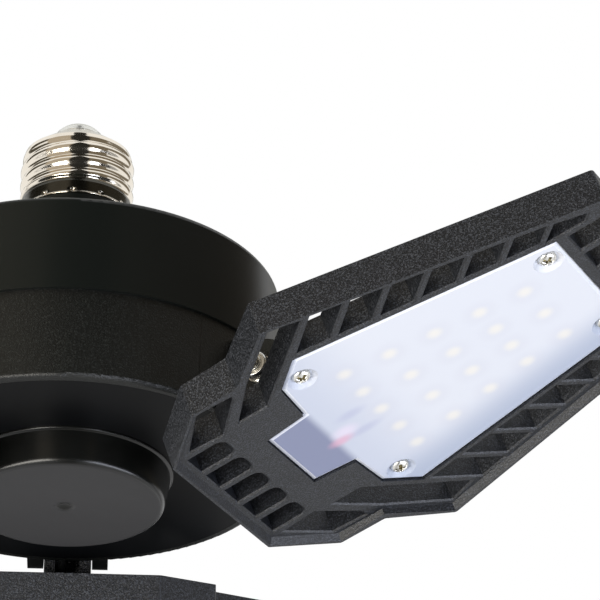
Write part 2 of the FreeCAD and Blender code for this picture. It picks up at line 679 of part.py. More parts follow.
def led_board():
    """Board on the pad, with room for the lens posts and a notch for the lead."""
    board = prism(grown(mirrored(LENS_OUTLINE), -LENS_WALL - 0.5), PAD_H - LED_BOARD_T, PAD_H)
    holes = [cylinder(POST_OUTER_R + 0.3, 0, WING_DEPTH, u, v) for u, v in screw_places()]
    start = LENS_OUTLINE[0][0]
    notch = mirrored([(start, NOTCH_V), (LEAD_U + NOTCH_PAST, NOTCH_V)])
    return board.cut(holes + [prism(notch, 0, PAD_H + 1)])


def leds():
    """Rows of LEDs that narrow with the wing."""
    width, length, height = LED_SIZE
    top = PAD_H - LED_BOARD_T
    chips = []
    for row, count in enumerate(LED_ROWS):
        u = LED_FIRST_U + row * LED_PITCH_U
        spread = LED_SPREAD - row * LED_SPREAD_STEP
        for k in range(count):
            v = -spread + 2 * spread * k / (count - 1)
            corner = Vector(u - width / 2, v - length / 2, top - height)
            chips.append(Part.makeBox(width, length, height, corner))
    return Part.makeCompound(chips)


def wing_lead():
    """Sheathed lead: up through the wing, under the hinge bolt and into the ring's slot."""
    foot_h = PIVOT_H - LEAD_TURN_R - LEAD_BEND
    axis = Vector(0, -1, 0)
    riser = cylinder(LEAD_R, PAD_H - 1.6, foot_h, LEAD_U, LEAD_OFFSET)
    bend = Part.Face(Part.Wire([Part.makeCircle(LEAD_R, Vector(LEAD_U, LEAD_OFFSET, foot_h))]))
    bend = bend.revolve(Vector(PIVOT_U, LEAD_OFFSET, foot_h), axis, 90)
    low_end = Vector(PIVOT_U, LEAD_OFFSET, PIVOT_H - LEAD_TURN_R)
    turn = Part.Face(Part.Wire([Part.makeCircle(LEAD_R, low_end, Vector(1, 0, 0))]))
    turn = turn.revolve(Vector(PIVOT_U, LEAD_OFFSET, PIVOT_H), axis, LEAD_END - 270.0)
    return riser.fuse([bend, turn]).removeSplitter()


# ---------------------------------------------------------------- hinge hardware, at azimuth 0

def along_hinge(shape):
    """Turn a piece made about +Z so that it lies on the hinge axis, towards -v."""
    moved = shape.copy()
    moved.rotate(Vector(0, 0, 0), Vector(1, 0, 0), 90)
    moved.translate(Vector(PIVOT_R, 0, PIVOT_HEIGHT))
    return moved


def hinge_bolt():
    """Bolt through lugs and ears, its end standing out of the nut."""
    head_seat = -LUG_OUT - SEAT_GAP
    end = STACK + FLAT_WASHER_T + SPRING_WASHER_T + NUT_T + BOLT_STAND_OUT
    bolt = screw(*BOLT_HEAD, BOLT_R, end - head_seat)
    bolt.translate(Vector(0, 0, head_seat))
    return along_hinge(bolt)


def hinge_washers():
    flat = tube(WASHER_R, BOLT_R + 0.1, STACK, STACK + FLAT_WASHER_T)
    spring_low = STACK + FLAT_WASHER_T
    spring = tube(SPRING_WASHER_R, BOLT_R + 0.1, spring_low, spring_low + SPRING_WASHER_T)
    split = Part.makeBox(3.0, 0.4, 2.0, Vector(BOLT_R - 0.2, -0.2, spring_low - 0.5))
    return along_hinge(Part.makeCompound([flat, spring.cut(split)]))


def hinge_nut():
    low = STACK + FLAT_WASHER_T + SPRING_WASHER_T
    nut = hexagon(NUT_FLATS, low, low + NUT_T)
    corner = NUT_FLATS / math.sqrt(3.0)
    height = NUT_T + 3.0
    crown = Part.makeCone(corner + height / 2, NUT_FLATS / 2 - 0.1, height,
                          Vector(0, 0, low + NUT_T - height))
    return along_hinge(nut.common(crown).cut(cylinder(BOLT_R + 0.02, low - 1, low + NUT_T + 1)))


# ---------------------------------------------------------------- write every piece

HUB_PIECES = (screw_shell, base_insulator, base_contact, base_leads, upper_shell, hinge_ring,
              bottom_cover, centre_cap, cover_screws, driver_board, board_screws,
              driver_transformer, driver_capacitors)
WING_PIECES = (wing_frame, lens, lens_screws, led_board, leds, wing_lead)
HINGE_PIECES = (hinge_bolt, hinge_washers, hinge_nut)


def main():
    os.makedirs("parts", exist_ok=True)
    for make in HUB_PIECES:
        write(make.__name__, make())
    for make in WING_PIECES:
        shape = make()
        for wing in WING_AZIMUTH:
            write("%s_%s" % (make.__name__, wing), place_wing(shape, wing))
    for make in HINGE_PIECES:
        shape = make()
        for wing, azimuth in WING_AZIMUTH.items():
            write("%s_%s" % (make.__name__, wing), turned(shape, azimuth))


main()
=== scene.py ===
"""Studio scene of a screw-in garage light: drum hub, screw base and three tilting wings."""
import json
import math

import bmesh
import bpy
from mathutils import Matrix, Vector


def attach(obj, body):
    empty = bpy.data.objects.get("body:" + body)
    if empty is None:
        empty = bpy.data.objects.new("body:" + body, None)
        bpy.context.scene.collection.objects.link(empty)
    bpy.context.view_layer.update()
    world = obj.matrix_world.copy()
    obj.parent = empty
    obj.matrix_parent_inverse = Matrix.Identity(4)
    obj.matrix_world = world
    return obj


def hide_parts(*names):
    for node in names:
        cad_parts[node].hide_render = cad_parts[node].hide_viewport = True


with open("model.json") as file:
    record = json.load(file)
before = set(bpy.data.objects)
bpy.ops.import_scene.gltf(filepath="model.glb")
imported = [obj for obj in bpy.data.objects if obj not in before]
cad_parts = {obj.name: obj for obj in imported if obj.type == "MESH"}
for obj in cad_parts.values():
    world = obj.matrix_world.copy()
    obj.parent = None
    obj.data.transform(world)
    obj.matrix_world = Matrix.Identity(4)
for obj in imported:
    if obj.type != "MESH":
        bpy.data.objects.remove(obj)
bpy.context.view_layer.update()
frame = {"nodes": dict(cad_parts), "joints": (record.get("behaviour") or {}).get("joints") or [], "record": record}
MM = 0.001

# ------------------------------------------------------------------ camera
# The photograph is 600 x 600; the camera looks up at the light from below the hub.
CAMERA_LENS = 222.07
CAMERA_SENSOR = 36.0
CAMERA_NEAR = 0.01
CAMERA_PLACE = Vector((16.05, -747.63, -427.7)) * MM
CAMERA_YAW = math.radians(2.772)
CAMERA_PITCH = math.radians(28.615)
CAMERA_ROLL = math.radians(0.266)

# ------------------------------------------------------------------ sizes, in millimetres
# A wing is drawn in (u, v, h): u outward from the lamp axis, v across, h up from its lit rim.
SIDES = ("right", "rear", "left")
FIRST_WING = math.radians(-30.0)
WING_TURN = math.radians(120.0)
PIVOT_U = 64.6
PIVOT_H = 20.1
REST_LOW = -5.0            # every wing's lowest tilt, in degrees from level
WING_OUTLINE = [(42.3, 22.0), (54.5, 35.1), (66.0, 35.4), (78.6, 47.7), (152.0, 26.8)]
WING_DEPTH = 8.3
RIM_T = 1.8                # foot of the rim's inner face, from the wing's outline
RIM_CREST = 0.6            # its crest
MERGE = 0.002              # doubled points of a CAD mesh are nearer than this
FLAT_ANGLE = math.radians(0.6)       # faces closer to flat than this are joined
EDGE_ANGLE = math.radians(28.0)      # an edge that turns more than this is broken
BLUNT_ANGLE = math.radians(95.0)     # a corner that turns less than this is rounded
FRAME_EDGE = 0.22          # broken edges of the casting
LENS_EDGE = 0.2            # and of the lens
CORNER_EDGE = 0.8          # rounding of the corners that run from front to back
LENS_SHOULDER_H = 2.2
BEVEL_HIGHLIGHT_LEAN = (0.2, 0.985)  # how far a face of the lens's bevel looks down, to get the painted highlight
# the lens and what shows through it
UV_SPAN = 200.0            # one unit of the wing's UV map
LED_ROWS = 5
LED_GAPS = 3.0             # in a row; the first row has one more and the last one less
LED_FIRST_U = 84.05
LED_PITCH_U = 10.3
LED_SPREAD = 17.8
LED_SPREAD_STEP = 1.83
LED_GLOW_R = (2.5, 0.4)    # a glow fades in from the first radius to the second
LED_HALO_R = (5.2, 2.2)
POCKET_U = (72.6, 70.0)    # the dark pocket of the lead begins between these lines
SHADE_U = (94.0, 72.0)     # painted shade: the lens darkens towards the hub
LENS_SIDE = (78.6, 31.6)   # a point of the lens's edge on the +v side
LENS_TAPER = 0.19          # that edge comes in by this much for each unit outward
SIDE_SHADE = (15.0, 2.0)   # painted shade: the lens darkens towards it, from the first distance to the second
SMUDGES = [                # the lead and its joints behind the lens: place, half size, tint
    ((78.2, -4.1), (3.4, 1.5), "a9adc6", 0.6), ((78.0, 3.3), (4.2, 1.4), "a9adc6", 0.6),
    ((74.4, 0.6), (3.0, 2.2), "dccfe0", 0.6), ((72.3, 2.9), (2.8, 1.5), "cf9fb6", 0.75)]
# lens screws
SCREW_PLACES = [(76.8, 23.9), (133.5, 15.5)]
SCREW_CLEAR = 3.6          # round a screw the lens has its countersink
SCREW_SEAT_H = 2.9
SCREW_R = 2.15
SCREW_TOP = 1.3
SCREW_FOOT = 0.3
DRIVE_ARM = (0.42, 0.12)   # half width of the cross recess and the run of its walls
DRIVE_REACH = (1.35, 0.2)  # the same for the length of its arms
DRIVE_DEPTH = 0.75
# hinge nut
NUT_START = 10.85          # along the hinge bolt from the middle of the wing
NUT_R = 3.0
NUT_BORE = 1.52
# screw shell
PITCH = 25.4 / 7
CREST_R = 13.2
ROOT_R = 12.5
SHEET = 0.9
FIRST_CREST = 5.5          # height of a crest on the side towards the camera
THREAD_LOW = 4.3
THREAD_HIGH = 14.9
CRIMPS = 12
CRIMP_PHASE = 0.73
CRIMP_HEIGHT = 0.95
CRIMP_DEPTH = 0.45
SHELL_STEP = 0.16          # between two rings of the shell's mesh
PLUG_TOP = 21.6            # of the insulator, where the contact stands
PLUG_LOW = 18.4
PLUG_R = 5.6
CONTACT_R = 5.9
CONTACT_SKIRT = 0.3
CONTACT_TOP = 25.2
# hub
SEAM_OFFSET = 22.8         # parting lines of the band, in degrees from each wing
SEAM_WIDTH = (0.16, 0.05)
BAND_LOW_R = 47.5          # radius of the band at its lower edge
CAP_FACE = -73.5           # height of the cap's face
CAP_FACE_R = 22.1
CAP_FOOT_R = 23.6
CAP_RISE = 8.2             # from its face up to the cover
CAP_WALL = 1.8
CAP_BORE_R = 20.0
CAP_SPIGOT_R = 21.5        # the spigot stands in the cover
CAP_SPIGOT = 0.8
CAP_FLAT_R = 12.0          # the face is flat from here out to its edge
DIMPLE_R = 2.4
DIMPLE_DEPTH = 0.5

# ------------------------------------------------------------------ studio
# Azimuth 0 is straight in front of the light and grows to the right; distances in metres.
CARD_DISTANCE = 2.4
FLOOR_Z = -2.6
FLOOR_HALF = 10.0
AMBIENT = 0.36             # strength of the surroundings as light
WHITE = 1.0                # and as camera, gloss and glass see them
# name, azimuth, elevation, distance, width and height, power, colour, whether gloss sees it
SOFTBOXES = [
    ("left_box", -46.0, -34.0, 1.2, (1.1, 0.45), 16.0, "fffaf0", True),
    ("right_box", 58.0, -34.0, 1.2, (1.1, 0.45), 11.0, "eaf0ff", True),
    ("high_left_box", -66.0, 38.0, 1.4, (0.9, 0.5), 32.0, "fff4dc", False)]
# name, azimuths, elevations, colour
CARDS = [
    ("dark_front", (-14.0, 24.0), (-80.0, 89.0), "2a2a28"),
    ("warm_left", (-62.0, -14.0), (-26.0, 56.0), "b9ae9e"),
    ("dim_left", (-115.0, -62.0), (4.0, 42.0), "524e44"),
    ("dim_right", (24.0, 62.0), (-22.0, 48.0), "766d5e"),
    ("side_right", (62.0, 128.0), (0.0, 44.0), "7d7568"),
    ("low_left", (-160.0, -14.0), (-75.0, -16.0), "ffffff"),
    ("low_right", (24.0, 160.0), (-75.0, -20.0), "ffffff"),
    ("behind_low", (145.0, 215.0), (22.0, 31.0), "b0b0aa"),
    ("behind_high", (145.0, 215.0), (31.0, 75.0), "d6d6d2")]


def add_camera():
    """Camera at the photograph's place and angle of view."""
    forward = Vector((math.sin(CAMERA_YAW) * math.cos(CAMERA_PITCH),
                      math.cos(CAMERA_YAW) * math.cos(CAMERA_PITCH), math.sin(CAMERA_PITCH)))
    level = Vector((math.cos(CAMERA_YAW), -math.sin(CAMERA_YAW), 0.0))
    rise = level.cross(forward)
    right = math.cos(CAMERA_ROLL) * level + math.sin(CAMERA_ROLL) * rise
    up = math.cos(CAMERA_ROLL) * rise - math.sin(CAMERA_ROLL) * level
    data = bpy.data.cameras.new("photo_camera")
    data.lens = CAMERA_LENS
    data.sensor_width = CAMERA_SENSOR
    data.clip_start = CAMERA_NEAR
    camera = bpy.data.objects.new("photo_camera", data)
    turn = Matrix((right, up, -forward)).transposed()
    camera.matrix_world = Matrix.Translation(CAMERA_PLACE) @ turn.to_4x4()
    bpy.context.scene.collection.objects.link(camera)
    bpy.context.scene.camera = camera


# ------------------------------------------------------------------ node trees

class Value:
    """A socket, or a number, that takes part in arithmetic by adding Math nodes."""

    def __init__(self, tree, socket):
        self.tree = tree
        self.socket = socket

    def math(self, operation, *values):
        node = self.tree.add("ShaderNodeMath", {"operation": operation},
                             dict(enumerate((self,) + values)))
        return Value(self.tree, node.outputs[0])

    def __add__(self, other):
        return self.math("ADD", other)

    def __sub__(self, other):
        return self.math("SUBTRACT", other)

    def __rsub__(self, other):
        return (self * -1.0) + other

    def __mul__(self, other):
        return self.math("MULTIPLY", other)

    def __truediv__(self, other):
        return self.math("DIVIDE", other)

    def __gt__(self, other):
        return self.math("GREATER_THAN", other)

    def __lt__(self, other):
        return self.math("LESS_THAN", other)

    __radd__ = __add__

    def smooth(self, low, high):
        """0 below low and 1 above high; the other way round when low is the larger."""
        node = self.tree.add("ShaderNodeMapRange", {"interpolation_type": "SMOOTHSTEP"},
                             {"Value": self, "From Min": low, "From Max": high})
        return Value(self.tree, node.outputs["Result"])


class Tree:
    """Node tree that is filled by one add method."""

    def __init__(self, tree):
        self.tree = tree

    def plug(self, target, value):
        if isinstance(value, Value):
            value = value.socket
        if isinstance(value, bpy.types.NodeSocket):
            self.tree.links.new(value, target)
        else:
            target.default_value = value

    def add(self, kind, settings=None, sockets=None):
        node = self.tree.nodes.new(kind)
        for key, value in (settings or {}).items():
            setattr(node, key, value)
        for key, value in (sockets or {}).items():
            self.plug(node.inputs[key], value)
        return node

    def axes(self, vector):
        node = self.add("ShaderNodeSeparateXYZ", None, {0: vector})
        return [Value(self, node.outputs[k]) for k in range(3)]


class Paint(Tree):
    """A material with one Principled BSDF."""

    def __init__(self, name, color, **constants):
        self.material = bpy.data.materials.new(name)
        self.material.use_nodes = True
        super().__init__(self.material.node_tree)
        self.bsdf = self.tree.nodes["Principled BSDF"]
        self.set("Base Color", srgb(color) + (1.0,))
        for key, value in constants.items():
            self.set(key.replace("_", " ").title().replace("Ior", "IOR"), value)

    def set(self, socket, value):
        self.plug(self.bsdf.inputs[socket], value)

    def place(self):
        """Object coordinates, in metres."""
        return self.add("ShaderNodeTexCoord").outputs["Object"]

    def attribute(self, name):
        node = self.add("ShaderNodeAttribute", {"attribute_name": name})
        return Value(self, node.outputs["Fac"])

    def noise(self, scale, detail=2.0, roughness=0.5):
        node = self.add("ShaderNodeTexNoise", None,
                        {"Vector": self.place(), "Scale": scale,
                         "Detail": detail, "Roughness": roughness})
        return Value(self, node.outputs["Fac"])

    def blend(self, factor, first, second):
        """Colour that goes from first to second with factor."""
        colors = [srgb(c) + (1.0,) if isinstance(c, str) else c for c in (first, second)]
        node = self.add("ShaderNodeMix", {"data_type": "RGBA"},
                        {"Factor": factor, 6: colors[0], 7: colors[1]})
        return node.outputs[2]

    def bump(self, height, depth, strength=1.0):
        """Height 0 to 1 stands for this depth, in millimetres."""
        node = self.add("ShaderNodeBump", None,
                        {"Height": height, "Distance": depth * MM, "Strength": strength})
        self.set("Normal", node.outputs[0])
        return self.material


def srgb(text):
    """Linear colour of a six-figure hexadecimal screen colour."""
    parts = [int(text[k:k + 2], 16) / 255 for k in (0, 2, 4)]
    return tuple(p / 12.92 if p <= 0.04045 else ((p + 0.055) / 1.055) ** 2.4 for p in parts)


def distance(first, second):
    """Length of a vector of two Values."""
    return (first * first + second * second).math("SQRT")


# ------------------------------------------------------------------ finishes

def satin_shell():
    """Satin black of the upper shell and its neck."""
    paint = Paint("satin_shell", "111413", specular_ior_level=0.2)
    paint.set("Roughness", paint.noise(60.0, 4.0) * 0.1 + 0.24)
    return paint.bump(paint.noise(2600.0), 0.01, 0.5)


def textured_band():
    """Fine spark-eroded grain, with a hairline parting line each side of every wing."""
    paint = Paint("textured_band", "090b0a", specular_ior_level=0.5)
    x, y = paint.axes(paint.place())[:2]
    sector = (y.math("ARCTAN2", x) - FIRST_WING) / WING_TURN
    offset = (sector - sector.math("ROUND")).math("ABSOLUTE") * math.degrees(WING_TURN)
    miss = (offset - SEAM_OFFSET).math("ABSOLUTE") * (math.radians(1.0) * BAND_LOW_R)
    seam = miss.smooth(*SEAM_WIDTH)
    grain = paint.noise(2700.0, 2.0, 0.6)
    speckled = paint.blend(grain.smooth(0.5, 0.7), "060807", "1b1e1d")
    paint.set("Base Color", paint.blend(seam, speckled, "020202"))
    paint.set("Roughness", grain * 0.12 + 0.34)
    return paint.bump(grain - seam * 2.5, 0.11)


def smooth_cover():
    """Smooth black of the bottom cover."""
    paint = Paint("smooth_cover", "07080a", specular_ior_level=0.12)
    paint.set("Roughness", paint.noise(80.0, 3.0) * 0.1 + 0.3)
    return paint.bump(paint.noise(3000.0), 0.008, 0.5)


def cap_finish():
    """Glossy black side under a flat grey face."""
    paint = Paint("cap_finish", "222224", specular_ior_level=0.4)
    x, y, z = paint.axes(paint.place())
    face = (z / MM).smooth(CAP_FACE + 0.35, CAP_FACE - 0.05)
    face = face * distance(x, y).smooth((CAP_FACE_R + 0.5) * MM, (CAP_FACE_R - 0.9) * MM)
    paint.set("Base Color", paint.blend(face, "0b0c0b", "252527"))
    paint.set("Roughness", paint.noise(120.0, 3.0) * 0.1 + face * 0.18 + 0.2)
    return paint.bump(paint.noise(4000.0), 0.008, 0.5)


def contact_metal():
    """Tinned metal of the centre contact."""
    paint = Paint("contact_metal", "e6e6e0", metallic=1.0)
    paint.set("Roughness", paint.noise(500.0, 4.0) * 0.1 + 0.24)
    return paint.bump(paint.noise(1800.0, 3.0), 0.006, 0.5)


def bright_steel():
    """Plated screws and nuts, darker olive in the bottom of the cross recess."""
    paint = Paint("nickel_screws", "dcdbd6", metallic=1.0)
    deep = paint.attribute("recess").smooth(0.2, 0.9)
    paint.set("Base Color", paint.blend(deep, "dcdbd6", "6f6440"))
    paint.set("Roughness", paint.noise(700.0, 4.0) * 0.12 + 0.2)
    return paint.bump(paint.noise(2500.0, 3.0), 0.006, 0.5)


def rolled_nickel():
    """Thread in bright warm nickel. Its skirt carries a painted dark reflection, mottled at random; the rim and
    the crimps keep the bright nickel, so the crimps show as painted glints.
    """
    paint = Paint("rolled_nickel", "ece4d6", metallic=1.0)
    x, y, z = paint.axes(paint.place())
    height = z / MM
    # skirt: where the dark reflection is painted, from above the rim up to the thread
    skirt = height.smooth(4.6, 4.1) * height.smooth(0.55, 0.8)
    mottle = paint.noise(300.0, 5.0, 0.6)
    skirt_dark_reflection = paint.blend(mottle, "45443f", "5d5c55")
    # crimp: marks left out of the painted dark, which show bright nickel as painted glints
    pulse = (y.math("ARCTAN2", x) * CRIMPS + CRIMP_PHASE).math("COSINE").smooth(0.86, 0.96)
    crimp = pulse * (height - CRIMP_HEIGHT).math("ABSOLUTE").smooth(0.7, 0.4)
    paint.set("Base Color", paint.blend(skirt - crimp, "ece4d6", skirt_dark_reflection))
    paint.set("Roughness", mottle * 0.08 + skirt * 0.12 + 0.07)
    return paint.bump(paint.noise(1500.0, 3.0), 0.004, 0.4)


def cast_black():
    """Powder-coated casting: fine sparkle of light grains on near black."""
    paint = Paint("cast_black", "222428", specular_ior_level=0.45)
    grain = paint.noise(2700.0, 2.0, 0.65)
    patch = paint.noise(220.0)
    speck = grain.smooth(0.44, 0.7)
    paint.set("Base Color", paint.blend(speck, "0a0c10", "373a41"))
    paint.set("Roughness", grain * 0.12 + patch * 0.1 + 0.3)
    return paint.bump(grain, 0.13)


def led_reach(u, v):
    """Distance from the nearest LED of the wing."""
    row = ((u - LED_FIRST_U) / LED_PITCH_U).math("ROUND").math("MAXIMUM", 0.0)
    row = row.math("MINIMUM", LED_ROWS - 1.0)
    gaps = LED_GAPS + (row < 0.5) - (row > LED_ROWS - 1.5)
    spread = LED_SPREAD - row * LED_SPREAD_STEP
    step = spread * 2.0 / gaps
    place = ((v + spread) / step).math("ROUND").math("MAXIMUM", 0.0).math("MINIMUM", gaps)
    return distance(v + spread - place * step, u - LED_FIRST_U - row * LED_PITCH_U)


def frosted_lens():
    """Frosted cover that shows the board, its rows of LEDs and the lead in its pocket, blurred; painted shade
    darkens it towards the hub and its +v edge, and its bevel carries a painted highlight.
    """
    paint = Paint("frosted_lens", "dfe3f2", roughness=0.38, specular_ior_level=0.4)
    uv = paint.add("ShaderNodeUVMap", {"uv_map": "wing"})
    first, second = paint.axes(uv.outputs[0])[:2]
    u = first * UV_SPAN
    v = (second - 0.5) * UV_SPAN
    reach = led_reach(u, v)
    side = LENS_SIDE[1] - (u - LENS_SIDE[0]) * LENS_TAPER - v
    # painted shade towards the hub, then towards the +v edge
    color = paint.blend(u.smooth(*SHADE_U) * 0.95, "cfd2da", "b9bfce")
    color = paint.blend(side.smooth(*SIDE_SHADE) * 0.85, color, "9ca6bb")
    color = paint.blend(reach.smooth(*LED_HALO_R) * 0.2, color, "c0c0ca")
    color = paint.blend(reach.smooth(*LED_GLOW_R) * 0.45, color, "ebe4d2")
    color = paint.blend(u.smooth(*POCKET_U), color, "7b819b")
    for (at_u, at_v), size, tint, weight in SMUDGES:
        blot = distance((u - at_u) / size[0], (v - at_v) / size[1]).smooth(1.5, 0.2)
        color = paint.blend(blot * weight, color, tint)
    # painted highlight on the faces of the bevel
    paint.set("Base Color", paint.blend(paint.attribute("bevel") * 0.5, color, "f2f5fc"))
    return paint.bump(paint.noise(2400.0), 0.006, 0.4)


def plain(name, color, roughness):
    """One even colour, for pieces that hardly show."""
    paint = Paint(name, color, roughness=roughness)
    return paint.bump(paint.noise(900.0), 0.02, 0.4)


def make_finishes():
    """Finishes by node, or by a node's name without its wing."""
    return {
        "screw_shell": rolled_nickel(),
        "base_insulator": plain("black_glass", "30302c", 0.3),
        "base_contact": contact_metal(),
        "upper_shell": satin_shell(), "hinge_ring": textured_band(),
        "bottom_cover": smooth_cover(), "centre_cap": cap_finish(),
        "driver_board": plain("board_green", "1d5a2a", 0.3),
        "driver_transformer": plain("winding_tape", "b99a2e", 0.5),
        "driver_capacitors": plain("can_sleeve", "39424f", 0.35),
        "base_leads": plain("lead_sheath", "2a2b2c", 0.45),
        "wing_lead": plain("sheathed_lead", "1d1e1f", 0.4),
        "wing_frame": cast_black(), "lens": frosted_lens(),
        "led_board": plain("white_board", "d9dbe0", 0.4),
        "leds": plain("phosphor", "e9dfae", 0.3),
        "steel": bright_steel()}


def finish_nodes(finishes):
    """Every carried-over node gets its finish; what has none of its own is steel."""
    for name, node in frame["nodes"].items():
        kind = name if name in finishes else name.rsplit("_", 1)[0]
        node.data.materials.clear()
        node.data.materials.append(finishes.get(kind, finishes["steel"]))


# ------------------------------------------------------------------ pieces


def body_of(node):
    """Body a node rides on, as the record has it."""
    for body, names in frame["record"]["behaviour"]["bodies"].items():
        if node in names:
            return body


def hand_over(piece, node, finish):
    """The piece stands for the node, with its finish and on its body."""
    piece.data.materials.clear()
    piece.data.materials.append(finish)
    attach(piece, body_of(node))
    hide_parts(node)
    return piece


def linked(name, mesh):
    piece = bpy.data.objects.new(name, mesh)
    bpy.context.scene.collection.objects.link(piece)
    return piece


def evaluated(piece):
    """The piece with its modifiers worked into a plain mesh."""
    graph = bpy.context.evaluated_depsgraph_get()
    mesh = bpy.data.meshes.new_from_object(piece.evaluated_get(graph))
    piece.modifiers.clear()
    piece.data = mesh
    return piece


def eased(node, name, width, finish, place, trim=None):
    """Merged copy of a wing's node with broken edges and rounded corners."""
    blunt_corner = corner_test(place)
    mesh = frame["nodes"][node].data.copy()
    work = bmesh.new()
    work.from_mesh(mesh)
    bmesh.ops.remove_doubles(work, verts=work.verts, dist=MERGE * MM)
    bmesh.ops.dissolve_limit(work, angle_limit=FLAT_ANGLE, verts=work.verts, edges=work.edges)
    if trim:
        trim(work)
    weights = work.edges.layers.float.new("bevel_weight_edge")
    for edge in work.edges:
        if len(edge.link_faces) == 2 and edge.calc_face_angle() > EDGE_ANGLE:
            edge[weights] = 1.0 if blunt_corner(edge) else width / CORNER_EDGE
    work.to_mesh(mesh)
    work.free()
    mesh.shade_smooth()
    piece = linked(name, mesh)
    bevel = piece.modifiers.new("edge", "BEVEL")
    bevel.width = CORNER_EDGE * MM
    bevel.segments = 3
    bevel.limit_method = "WEIGHT"
    bevel.use_clamp_overlap = True
    piece.modifiers.new("flat", "WEIGHTED_NORMAL").keep_sharp = True
    return hand_over(evaluated(piece), node, finish)


def wing_place(side):
    """Matrix from (u, v, h) in millimetres to the wing's place at rest."""
    for joint in frame["joints"]:
        if joint["child"] == "wing_" + side:
            axis = Vector(joint["axis"])
            tilt = math.radians(REST_LOW - joint["range_deg"][0])
            outward = Vector((-axis.y, axis.x, 0.0))
            along = math.cos(tilt) * outward + Vector((0.0, 0.0, math.sin(tilt)))
            up = Vector((0.0, 0.0, math.cos(tilt))) - math.sin(tilt) * outward
            turn = Matrix((along, -axis, up)).transposed().to_4x4()
            return (Matrix.Translation(Vector(joint["pos_m"])) @ turn @ Matrix.Scale(MM, 4)
                    @ Matrix.Translation((-PIVOT_U, 0.0, -PIVOT_H)))


def corner_test(place):
    """Tells blunt corners that run from the lit face of the wing towards its back."""
    back = place.inverted()

    def test(edge):
        run = (back.to_3x3() @ (edge.verts[1].co - edge.verts[0].co)).normalized()
        height = (back @ edge.verts[0].co).z
        return (abs(run.z) > 0.6 and height < WING_DEPTH + 0.1
                and edge.calc_face_angle() < BLUNT_ANGLE)
    return test


def slope_rim(place):
    """Thins the crest of the rim, so that its inner face slopes down to the lattice."""
    back = place.inverted()
    corners = [Vector(p) for p in WING_OUTLINE]
    corners += [Vector((u, -v)) for u, v in reversed(WING_OUTLINE)]
    sides = []
    for start, end in zip(corners, corners[1:] + corners[:1]):
        run = (end - start).normalized()
        sides.append((start, run, (end - start).length, Vector((-run.y, run.x))))

    def trim(work):
        for vert in work.verts:
            spot = back @ vert.co
            if abs(spot.z) > 0.02:
                continue
            spot = spot.xy
            near = [out for start, run, length, out in sides
                    if abs((spot - start).dot(out) + RIM_T) < 0.05
                    and -0.1 < (spot - start).dot(run) < length + 0.1]
            if near:
                shift = (near[0] + near[-1]) / (1.0 + near[0].dot(near[-1]))
                shift *= RIM_T - RIM_CREST
                vert.co += place.to_3x3() @ Vector((shift.x, shift.y, 0.0))
    return trim


def mark_bevel_highlight(piece, place):
    """Marks the faces of the lens's bevel, where a painted highlight shows the frosted plastic brighter."""
    back = place.inverted()
    turn = back.to_3x3()
    layer = piece.data.attributes.new("bevel", "FLOAT", "FACE")
    for face, value in zip(piece.data.polygons, layer.data):
        spot = back @ face.center
        lean = -(turn @ face.normal).normalized().z
        clear = all(math.hypot(spot.x - u, abs(spot.y) - v) > SCREW_CLEAR
                    for u, v in SCREW_PLACES)
        in_front = spot.z < LENS_SHOULDER_H + 0.3
        value.value = float(clear and BEVEL_HIGHLIGHT_LEAN[0] < lean < BEVEL_HIGHLIGHT_LEAN[1] and in_front)


def add_wing_map(piece, place):
    """UV map that holds the wing's own u and v."""
    back = place.inverted()
    layer = piece.data.uv_layers.new(name="wing")
    for loop in piece.data.loops:
        spot = back @ piece.data.vertices[loop.vertex_index].co
        layer.data[loop.index].uv = (spot.x / UV_SPAN, spot.y / UV_SPAN + 0.5)


# ------------------------------------------------------------------ turned pieces

def bend(start, corner, end, steps):
    """Points on a curve that leaves start and enters end towards the corner."""
    points = []
    for k in range(steps + 1):
        t = k / steps
        a, b, c = (1 - t) ** 2, 2 * t * (1 - t), t * t
        points.append((a * start[0] + b * corner[0] + c * end[0],
                       a * start[1] + b * corner[1] + c * end[1]))
    return points


def crown(edge, rise, steps):
    """Points on a sphere, from the axis out to short of the edge, rise below the top."""
    radius = (edge ** 2 + rise ** 2) / (2 * rise)
    return [(edge * k / steps, math.sqrt(radius ** 2 - (edge * k / steps) ** 2) - radius)
            for k in range(steps)]


def lathe(name, profile, segments, step=None, sharp=None):
    """Closed surface of revolution about +Z through (radius, height) points."""
    points = []
    for (r0, z0), (r1, z1) in zip(profile, profile[1:]):
        count = max(1, math.ceil(math.hypot(r1 - r0, z1 - z0) / step)) if step else 1
        points += [(r0 + (r1 - r0) * k / count, z0 + (z1 - z0) * k / count)
                   for k in range(count)]
    points.append(profile[-1])
    work = bmesh.new()
    rings = []
    for r, z in points:
        if r < 1e-6:
            rings.append([work.verts.new((0.0, 0.0, z * MM))])
            continue
        rings.append([work.verts.new((r * math.cos(math.tau * k / segments) * MM,
                                      r * math.sin(math.tau * k / segments) * MM, z * MM))
                      for k in range(segments)])
    closed = points[0] == points[-1]
    if closed:
        for vert in rings.pop():
            work.verts.remove(vert)
    pairs = list(zip(rings, rings[1:])) + ([(rings[-1], rings[0])] if closed else [])
    for low, high in pairs:
        for k in range(segments):
            corners = [low[k % len(low)], low[(k + 1) % len(low)],
                       high[(k + 1) % len(high)], high[k % len(high)]]
            work.faces.new(list(dict.fromkeys(corners)))
    bmesh.ops.recalc_face_normals(work, faces=work.faces)
    mesh = bpy.data.meshes.new(name)
    work.to_mesh(mesh)
    work.free()
    mesh.shade_smooth()
    if sharp:
        mesh.set_sharp_from_angle(angle=math.radians(sharp))
    return mesh


